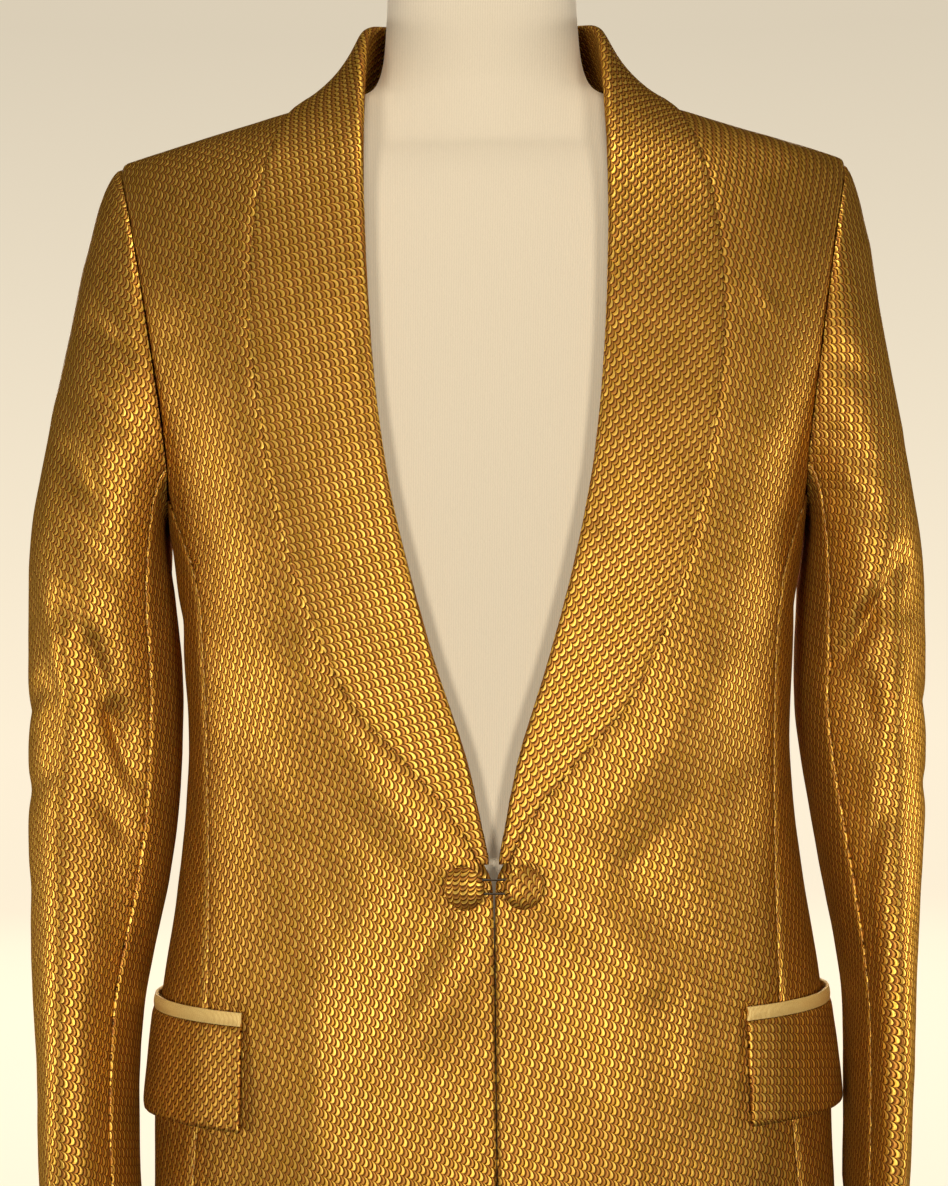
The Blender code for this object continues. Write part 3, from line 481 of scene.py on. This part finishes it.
def gold_thread():
    """Gold silk sewing thread: pale, with the soft gleam of two twisted plies."""
    material, tree = new_material("gold_thread")
    place = add_node(tree, "ShaderNodeTexCoord").outputs["Object"]
    plies = add_node(tree, "ShaderNodeTexNoise", {"Vector": place, "Scale": 2200.0}).outputs["Fac"]
    tint = add_node(tree, "ShaderNodeValToRGB", {0: plies})
    tint.color_ramp.elements[0].color = linear("B98231")
    tint.color_ramp.elements[1].color = linear("F3D588")
    shader = add_node(
        tree, "ShaderNodeBsdfPrincipled",
        {"Base Color": tint.outputs[0], "Roughness": 0.4, "Sheen Weight": 0.2},
    )
    add_node(tree, "ShaderNodeOutputMaterial", {"Surface": shader.outputs[0]})
    return material


def silk_thread():
    """Twisted silk cord: dark brown, with a soft gleam along its plies."""
    material, tree = new_material("silk_thread")
    place = add_node(tree, "ShaderNodeTexCoord").outputs["Object"]
    plies = add_node(tree, "ShaderNodeTexNoise", {"Vector": place, "Scale": 1800.0}).outputs["Fac"]
    tint = add_node(tree, "ShaderNodeValToRGB", {0: plies})
    tint.color_ramp.elements[0].color = linear("120C07")
    tint.color_ramp.elements[1].color = linear("4A3820")
    shader = add_node(
        tree, "ShaderNodeBsdfPrincipled",
        {"Base Color": tint.outputs[0], "Roughness": 0.45, "Sheen Weight": 0.3},
    )
    add_node(tree, "ShaderNodeOutputMaterial", {"Surface": shader.outputs[0]})
    return material


def link_object(name, mesh, material):
    made = bpy.data.objects.new(name, mesh)
    bpy.context.scene.collection.objects.link(made)
    mesh.materials.clear()
    mesh.materials.append(material)
    return made


def keep_piece(made, slot, *nodes):
    """Seats a finished piece on the frame in place of its solids."""
    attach(made, BODY)
    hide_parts(*nodes)


def smooth_regions(bm):
    """The faces in groups that no sharp edge divides."""
    left = set(bm.faces)
    regions = []
    while left:
        region = {left.pop()}
        queue = list(region)
        while queue:
            for edge in queue.pop().edges:
                if len(edge.link_faces) == 2 and edge.calc_face_angle() > WALL_EDGE:
                    continue
                fresh = [face for face in edge.link_faces if face in left]
                left.difference_update(fresh)
                region.update(fresh)
                queue.extend(fresh)
        regions.append(region)
    return regions


def outer_face(node):
    """The outer face of a packed cloth wall, which is the larger of its two, as quads."""
    bm = bmesh.new()
    bm.from_mesh(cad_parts[node].data)
    bmesh.ops.remove_doubles(bm, verts=bm.verts, dist=MERGE)
    bmesh.ops.join_triangles(
        bm, faces=bm.faces, angle_face_threshold=PAIR_BEND, angle_shape_threshold=PAIR_SHAPE,
    )
    outer = max(smooth_regions(bm), key=lambda region: sum(face.calc_area() for face in region))
    spare = [face for face in bm.faces if face not in outer]
    bmesh.ops.delete(bm, geom=spare, context="FACES")
    for face in bm.faces:
        face.smooth = True
    mesh = bpy.data.meshes.new(node)
    bm.to_mesh(mesh)
    bm.free()
    return mesh


def lay_flat(made, points):
    """Unwraps a piece at its real size, upright, then turned so that U runs as the scales point."""
    mesh = made.data
    mesh.uv_layers.new(name="flat")
    bpy.ops.object.select_all(action="DESELECT")
    bpy.context.view_layer.objects.active = made
    made.select_set(True)
    bpy.ops.object.mode_set(mode="EDIT")
    bpy.ops.mesh.select_all(action="SELECT")
    bpy.ops.uv.unwrap(method="ANGLE_BASED", margin=0.0)
    bpy.ops.object.mode_set(mode="OBJECT")
    made.select_set(False)
    count = len(mesh.loops)
    flat = np.empty(count * 2)
    mesh.uv_layers["flat"].data.foreach_get("uv", flat)
    flat = flat.reshape(-1, 2)
    corners = np.empty(count, int)
    mesh.loops.foreach_get("vertex_index", corners)
    places = read_places(mesh)[corners]
    rise, _, _, _ = np.linalg.lstsq(np.c_[flat, np.ones(count)], places[:, 2], rcond=None)
    flat *= math.sqrt(sum(face.area for face in mesh.polygons) / flat_area(mesh, flat))
    upright = math.atan2(rise[0], rise[1])
    size = np.ptp(turned(flat, upright), axis=0)
    flat = turned(flat, upright - math.radians(points))
    mesh.uv_layers["flat"].data.foreach_set("uv", flat.ravel())
    return size


def turned(flat, angle):
    """Flat points turned anticlockwise."""
    cosine, sine = math.cos(angle), math.sin(angle)
    return flat @ np.array([[cosine, sine], [-sine, cosine]])


def flat_area(mesh, flat):
    area = 0.0
    for face in mesh.polygons:
        ring = flat[list(face.loop_indices)]
        after = np.roll(ring, -1, axis=0)
        area += abs(np.sum(ring[:, 0] * after[:, 1] - ring[:, 1] * after[:, 0])) / 2
    return area


def read_places(mesh):
    places = np.empty(len(mesh.vertices) * 3)
    mesh.vertices.foreach_get("co", places)
    return places.reshape(-1, 3)


def read_normals(mesh):
    normals = np.empty(len(mesh.vertices) * 3)
    mesh.vertices.foreach_get("normal", normals)
    return normals.reshape(-1, 3)


def refine(made, level):
    """Subdivides a piece for good, keeping its corners."""
    smooth = made.modifiers.new("Smooth", "SUBSURF")
    smooth.levels = smooth.render_levels = level
    smooth.boundary_smooth = "PRESERVE_CORNERS"
    graph = bpy.context.evaluated_depsgraph_get()
    fine = bpy.data.meshes.new_from_object(made.evaluated_get(graph))
    made.modifiers.clear()
    coarse, made.data = made.data, fine
    bpy.data.meshes.remove(coarse)


def pressed(node, side, places):
    """How near each point of a piece is to the edge of a piece sewn over it, as 1 to 0."""
    rims = []
    for other in LAPPED.get(node, ()):
        cover = outer_face(f"{other}_{side}")
        rims += edge_points(cover)
        bpy.data.meshes.remove(cover)
    if not rims:
        return np.zeros(len(places))
    tree = KDTree(len(rims))
    for index, place in enumerate(rims):
        tree.insert(place, index)
    tree.balance()
    distance = np.array([tree.find(place)[2] for place in places])
    return np.exp(-((distance / PRESS_REACH) ** 2))


def edge_points(mesh):
    """A point every millimetre or so along the open edges of a mesh."""
    bm = bmesh.new()
    bm.from_mesh(mesh)
    points = []
    for edge in bm.edges:
        if edge.is_boundary:
            first, second = (vert.co.copy() for vert in edge.verts)
            steps = max(1, round(edge.calc_length() / MM))
            points += [first.lerp(second, step / steps) for step in range(steps)]
    bm.free()
    return points


def edge_distance(mesh):
    """Each point's distance from the piece's own edge."""
    bm = bmesh.new()
    bm.from_mesh(mesh)
    rim = [vert.co.copy() for vert in bm.verts if vert.is_boundary]
    tree = KDTree(len(rim))
    for index, place in enumerate(rim):
        tree.insert(place, index)
    tree.balance()
    distance = np.array([tree.find(vert.co)[2] for vert in bm.verts])
    bm.free()
    return distance


def fold_depth(fold, places, normals):
    """A soft trough along a line on the face that is seen from the fold's azimuth."""
    azimuth = math.radians(fold.azimuth)
    right = np.array([math.cos(azimuth), math.sin(azimuth), 0])
    viewer = np.array([math.sin(azimuth), -math.cos(azimuth), 0])
    seen = np.c_[places @ right, places[:, 2]] / MM
    start = np.array([fold.from_across, fold.from_z])
    line = np.array([fold.to_across, fold.to_z]) - start
    along = np.clip((seen - start) @ line / (line @ line), 0, 1)
    away = np.linalg.norm(seen - start - along[:, None] * line, axis=1)
    taper = np.sin(np.pi * (0.5 * along + 0.25))
    facing = np.clip(1.6 * (normals @ viewer), 0, 1)
    return fold.depth * MM * taper * facing * np.exp(-((away / fold.width) ** 2))


def unevenness(places, fineness):
    """Smooth noise from about -1 to 1 at each point."""
    return np.array([noise.noise(Vector(place) * fineness) for place in places])


def crease(made, node, side, group):
    """Gives a fine piece its own creases, a slight unevenness and its rolled edges."""
    look = bpy.context.scene.coat_jacquard
    mesh = made.data
    places, normals = read_places(mesh), read_normals(mesh)
    shift = np.zeros(len(places))
    for fold in FOLDS:
        if fold.group == group:
            shift -= fold_depth(fold, places, normals)
    shift -= look.press * pressed(node, side, places)
    distance = edge_distance(mesh)
    shift -= look.roll * np.exp(-((distance / look.roll_width) ** 2))
    inside = 1 - np.exp(-((distance / STILL_EDGE) ** 2))
    wave, ripple = unevenness(places, WAVE), unevenness(places, RIPPLE)
    shift += (WAVE_HEIGHT * wave + RIPPLE_HEIGHT * ripple) * MM * inside
    pucker = unevenness(places, PUCKER)
    shift += PUCKER_HEIGHT * MM * pucker * np.exp(-((distance / PUCKER_REACH) ** 2))
    mesh.vertices.foreach_set("co", (places + normals * shift[:, None]).ravel())
    mesh.update()


def thicken(made):
    wall = made.modifiers.new("Thickness", "SOLIDIFY")
    wall.thickness = bpy.context.scene.coat_jacquard.wall
    wall.offset = -1.0
    wall.use_even_offset = False


def make_cloth(cut, side, group):
    """One cloth piece: laid flat, made fine, creased and thickened."""
    name = f"{cut.node}_{side}"
    finish = ribbed_satin() if cut.node == "jet" else scale_jacquard()
    made = link_object(name + "_cloth", outer_face(name), finish)
    width, length = lay_flat(made, TURNED_CUTS.get(name, cut.points))
    refine(made, cut.level)
    crease(made, cut.node, side, f"sleeve_{side}" if group == "sleeves" else "body")
    thicken(made)
    keep_piece(made, cut.slot, name)
    return made


def make_cuts(group):
    for cut in CUTS[group]:
        for side in SIDES:
            make_cloth(cut, side, group)


class COAT_OT_form(bpy.types.Operator):
    """Covers the limbless form in jersey"""

    bl_idname = "coat.form"
    bl_label = "Form"

    def execute(self, context):
        bm = bmesh.new()
        bm.from_mesh(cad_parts["dress_form"].data)
        bmesh.ops.remove_doubles(bm, verts=bm.verts, dist=MERGE)
        bmesh.ops.join_triangles(
            bm, faces=bm.faces, angle_face_threshold=PAIR_BEND, angle_shape_threshold=PAIR_SHAPE,
        )
        for edge in bm.edges:
            edge.smooth = edge.calc_face_angle(0) < WALL_EDGE
        creased = bm.edges.layers.float.new("crease_edge")
        for edge in bm.edges:
            edge[creased] = 0.0 if edge.smooth else 0.85
        for face in bm.faces:
            face.smooth = True
        mesh = bpy.data.meshes.new("form_cover")
        bm.to_mesh(mesh)
        bm.free()
        cover = link_object("form_cover", mesh, form_jersey())
        smooth = cover.modifiers.new("Smooth", "SUBSURF")
        smooth.levels = smooth.render_levels = 2
        keep_piece(cover, "form_jersey", "dress_form")
        return {"FINISHED"}


class COAT_OT_body(bpy.types.Operator):
    """Makes the two fronts, the side bodies and the back"""

    bl_idname = "coat.body"
    bl_label = "Fronts, sides and back"

    def execute(self, context):
        make_cuts("body")
        return {"FINISHED"}


class COAT_OT_sleeves(bpy.types.Operator):
    """Makes the two-piece sleeves"""

    bl_idname = "coat.sleeves"
    bl_label = "Sleeves"

    def execute(self, context):
        make_cuts("sleeves")
        return {"FINISHED"}


class COAT_OT_shawl(bpy.types.Operator):
    """Makes both halves of the shawl collar"""

    bl_idname = "coat.shawl"
    bl_label = "Shawl collar"

    def execute(self, context):
        make_cuts("shawl")
        return {"FINISHED"}


class COAT_OT_pockets(bpy.types.Operator):
    """Makes the jets and the flaps of both pockets"""

    bl_idname = "coat.pockets"
    bl_label = "Pockets"

    def execute(self, context):
        make_cuts("pockets")
        return {"FINISHED"}


class COAT_OT_buttons(bpy.types.Operator):
    """Makes the covered buttons and dresses the cord that links them in silk"""

    bl_idname = "coat.buttons"
    bl_label = "Link buttons"

    def execute(self, context):
        for side, points in (("left", 130), ("right", -90)):
            self.cover_button(side, points)
        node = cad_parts["button_link"]
        node.data.materials.clear()
        node.data.materials.append(silk_thread())
        return {"FINISHED"}

    def cover_button(self, side, points):
        """A dome of cloth drawn tight over its mould and gathered under at the rim."""
        low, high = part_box(f"button_{side}")
        radius = (high.z - low.z) / 2
        sign = 1 if side == "left" else -1
        axis = Vector((sign * math.sin(BUTTON_LEAN), -math.cos(BUTTON_LEAN), 0))
        across = Vector((math.cos(BUTTON_LEAN), sign * math.sin(BUTTON_LEAN), 0))
        places = [vert.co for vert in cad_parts[f"button_{side}"].data.vertices]
        heights = [place.dot(axis) for place in places]
        depth = max(heights) - min(heights)
        foot = [place for place, height in zip(places, heights) if height < min(heights) + 0.1 * MM]
        foot = sum(foot, Vector()) / len(foot)
        shank, under = 0.2, 0.47
        outline = [(0, 0), (shank, 0), (shank, under), (0.66, under), (0.84, 0.48), (0.95, 0.53),
                   (1, 0.61), (0.985, 0.69), (0.91, 0.79), (0.76, 0.885), (0.55, 0.95), (0.28, 0.99),
                   (0, 1)]
        bm = bmesh.new()
        verts = [bm.verts.new((radius * out, 0, depth * up)) for out, up in outline]
        edges = [bm.edges.new(pair) for pair in zip(verts, verts[1:])]
        bmesh.ops.spin(
            bm, geom=verts + edges, cent=(0, 0, 0), axis=(0, 0, 1), angle=math.tau, steps=40,
            use_merge=True,
        )
        bmesh.ops.remove_doubles(bm, verts=bm.verts, dist=MERGE)
        flat = bm.loops.layers.uv.new("flat")
        turn = Matrix.Rotation(-math.radians(points), 2)
        for face in bm.faces:
            face.smooth = True
            for loop in face.loops:
                x, y, up = loop.vert.co
                loop[flat].uv = turn @ Vector((x, y)) * (1.0 + 0.35 * (1 - up / depth))
        for vert in bm.verts:
            x, y, up = vert.co
            vert.co = foot + across * x + Vector((0, 0, y)) + axis * up
        bmesh.ops.recalc_face_normals(bm, faces=bm.faces)
        mesh = bpy.data.meshes.new(f"button_{side}_cover")
        bm.to_mesh(mesh)
        bm.free()
        made = link_object(f"button_{side}_cover", mesh, scale_jacquard())
        smooth = made.modifiers.new("Smooth", "SUBSURF")
        smooth.levels = smooth.render_levels = 1
        keep_piece(made, "jacquard_trim", f"button_{side}")


class COAT_OT_stitching(bpy.types.Operator):
    """Sews the seams of the sides and sleeves by hand"""

    bl_idname = "coat.stitching"
    bl_label = "Stitching"

    def execute(self, context):
        thread = gold_thread()
        for side in SIDES:
            pockets = (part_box(f"flap_{side}")[0].z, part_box(f"jet_{side}")[1].z)
            self.sew("front", "side", side, -1, pockets, thread)
            self.sew("top_sleeve", "under_sleeve", side, -1, (0, 0), thread)
        return {"FINISHED"}

    def sew(self, first, second, side, facing, covered, thread):
        """Short stitches over the seam between two pieces, but not under a pocket's flap."""
        seam = seam_line(f"{first}_{side}_cloth", f"{second}_{side}_cloth", facing)
        bm = bmesh.new()
        step = STITCH_PITCH * MM
        travelled = 0.0
        for (place, normal), (after, _) in zip(seam, seam[1:]):
            travelled += (after - place).length
            if travelled < step:
                continue
            travelled = 0.0
            if covered[0] < place.z < covered[1]:
                continue
            along = (after - place).normalized()
            slant = along.lerp(normal.cross(along), STITCH_SLANT).normalized()
            seat = Matrix.Translation(place + normal * STITCH_PROUD * MM)
            turn = slant.to_track_quat("X", "Z").to_matrix().to_4x4()
            shape = Matrix.Diagonal((STITCH_LENGTH / 2, STITCH_THICK / 2, STITCH_THICK / 2, 1))
            shape = Matrix.Scale(MM, 4) @ shape
            bmesh.ops.create_uvsphere(
                bm, u_segments=6, v_segments=6, radius=1, matrix=seat @ turn @ shape,
            )
        for face in bm.faces:
            face.smooth = True
        mesh = bpy.data.meshes.new(f"{first}_{side}_stitches")
        bm.to_mesh(mesh)
        bm.free()
        made = link_object(f"{first}_{side}_stitches", mesh, thread)
        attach(made, BODY)


def seam_line(first, second, facing):
    """Points down the middle of the seam between two pieces on the front or the back, with the
    direction that the cloth faces there."""
    pair = []
    for name in (first, second):
        bm = bmesh.new()
        bm.from_mesh(bpy.data.objects[name].data)
        pair.append([(vert.co.copy(), vert.normal.copy()) for vert in bm.verts if vert.is_boundary])
        bm.free()
    tree = KDTree(len(pair[1]))
    for index, (place, _) in enumerate(pair[1]):
        tree.insert(place, index)
    tree.balance()
    line = []
    for place, normal in pair[0]:
        other, index, gap = tree.find(place)
        outward = (normal + pair[1][index][1]).normalized()
        if gap < SEAM_REACH * MM and outward.y * facing > 0:
            line.append(((place + other) / 2, outward))
    return sorted(line, key=lambda item: -item[0].z)


class COAT_OT_stage(bpy.types.Operator):
    """Sets the camera, the soft lights and the pale backdrop"""

    bl_idname = "coat.stage"
    bl_label = "Stage"

    def execute(self, context):
        look = context.scene.coat_stage
        camera = bpy.data.cameras.new("camera")
        camera.lens = look.lens
        camera.sensor_width = 36.0
        seat = bpy.data.objects.new("camera", camera)
        seat.location = (
            look.distance * math.sin(look.turn) + CAMERA_SHIFT_X,
            FORM_AXIS_Y - look.distance * math.cos(look.turn),
            look.eye,
        )
        seat.rotation_euler = (math.radians(90), look.roll, look.turn)
        context.scene.collection.objects.link(seat)
        context.scene.camera = seat
        self.add_backdrop(look)
        for lamp in LAMPS:
            self.add_light(lamp)
        world = bpy.data.worlds.new("room")
        world.use_nodes = True
        background = world.node_tree.nodes["Background"]
        background.inputs["Color"].default_value = linear("F1ECE2")
        background.inputs["Strength"].default_value = 0.03
        context.scene.world = world
        context.scene.view_settings.view_transform = "Standard"
        return {"FINISHED"}

    def add_backdrop(self, look):
        """Floor and wall in one round sweep, pale from every side."""
        bm = bmesh.new()
        reach, rise, bend = 3.4, 4.5, 0.8
        profile = [(0.0, 0.0), (reach - bend, 0.0)]
        for step in range(1, 9):
            angle = math.pi / 2 * step / 8
            profile.append((reach - bend + bend * math.sin(angle), bend - bend * math.cos(angle)))
        profile.append((reach, rise))
        verts = [bm.verts.new((out, 0, up)) for out, up in profile]
        edges = [bm.edges.new(pair) for pair in zip(verts, verts[1:])]
        bmesh.ops.spin(
            bm, geom=verts + edges, cent=(0, 0, 0), axis=(0, 0, 1), angle=math.tau, steps=72,
            use_merge=True,
        )
        bmesh.ops.remove_doubles(bm, verts=bm.verts, dist=MERGE)
        bmesh.ops.recalc_face_normals(bm, faces=bm.faces)
        if sum(face.normal.z * face.calc_area() for face in bm.faces) < 0:
            bmesh.ops.reverse_faces(bm, faces=bm.faces)
        for face in bm.faces:
            face.smooth = True
        mesh = bpy.data.meshes.new("backdrop")
        bm.to_mesh(mesh)
        bm.free()
        backdrop = link_object("backdrop", mesh, self.backdrop_paper(look))
        backdrop.visible_diffuse = backdrop.visible_glossy = False

    def backdrop_paper(self, look):
        """Matte paper with a painted glow in place of lamps on it, as if lit from behind, fading
        towards its top as painted falloff of that light.
        """
        material, tree = new_material("backdrop_paper")
        place = add_node(tree, "ShaderNodeTexCoord").outputs["Object"]
        grain = add_node(
            tree, "ShaderNodeTexNoise", {"Vector": place, "Scale": 3.0, "Detail": 2.0},
        ).outputs["Fac"]
        tone = add_node(
            tree, "ShaderNodeMapRange", {"Value": grain, "To Min": 0.15, "To Max": 0.18},
        ).outputs[0]
        colour = add_node(
            tree, "ShaderNodeVectorMath", {0: tuple(look.paper)[:3], "Scale": tone},
            operation="SCALE",
        ).outputs[0]
        height = add_node(tree, "ShaderNodeSeparateXYZ", {0: place}).outputs["Z"]
        # Painted light: the glow stands in for lamps on the paper and is weaker towards the top
        painted_glow = add_node(
            tree, "ShaderNodeMapRange",
            {"Value": height, "From Min": 0.2, "From Max": 1.6, "To Min": 1.0, "To Max": 0.7},
        ).outputs[0]
        shader = add_node(
            tree, "ShaderNodeBsdfPrincipled",
            {"Base Color": colour, "Roughness": 0.9, "Emission Color": tuple(look.paper),
             "Emission Strength": painted_glow},
        )
        add_node(tree, "ShaderNodeOutputMaterial", {"Surface": shader.outputs[0]})
        return material

    def add_light(self, lamp):
        """A soft round lamp, turned to what it is aimed at."""
        light = bpy.data.lights.new(lamp.name, "AREA")
        light.shape = "DISK"
        light.size = lamp.size
        light.energy = lamp.power
        light.color = linear(lamp.colour)[:3]
        made = bpy.data.objects.new(lamp.name, light)
        made.location = lamp.place
        made.visible_camera = False
        way = Vector(lamp.place) - Vector(lamp.aim)
        made.rotation_euler = way.to_track_quat("Z", "Y").to_euler()
        bpy.context.scene.collection.objects.link(made)


class COAT_PT_panel(bpy.types.Panel):
    """Lists the coat's pieces and the stage"""

    bl_idname = "COAT_PT_panel"
    bl_label = "Evening coat"
    bl_space_type = "VIEW_3D"
    bl_region_type = "UI"
    bl_category = "Coat"

    def draw(self, context):
        for operator in OPERATORS:
            self.layout.operator(operator.bl_idname)
        scene = context.scene
        for settings in (scene.coat_jacquard, scene.coat_form, scene.coat_stage):
            box = self.layout.box()
            for name in settings.__annotations__:
                box.prop(settings, name)


OPERATORS = (
    COAT_OT_stage,
    COAT_OT_form,
    COAT_OT_body,
    COAT_OT_sleeves,
    COAT_OT_shawl,
    COAT_OT_pockets,
    COAT_OT_buttons,
    COAT_OT_stitching,
)
CLASSES = (JacquardSettings, FormSettings, StageSettings, *OPERATORS, COAT_PT_panel)


def register():
    for item in CLASSES:
        bpy.utils.register_class(item)
    bpy.types.Scene.coat_jacquard = PointerProperty(type=JacquardSettings)
    bpy.types.Scene.coat_form = PointerProperty(type=FormSettings)
    bpy.types.Scene.coat_stage = PointerProperty(type=StageSettings)


def unregister():
    del bpy.types.Scene.coat_stage
    del bpy.types.Scene.coat_form
    del bpy.types.Scene.coat_jacquard
    for item in reversed(CLASSES):
        bpy.utils.unregister_class(item)


def main():
    register()
    bpy.ops.coat.stage()
    bpy.ops.coat.form()
    bpy.ops.coat.body()
    bpy.ops.coat.sleeves()
    bpy.ops.coat.shawl()
    bpy.ops.coat.pockets()
    bpy.ops.coat.buttons()
    bpy.ops.coat.stitching()


if __name__ == "__main__":
    main()
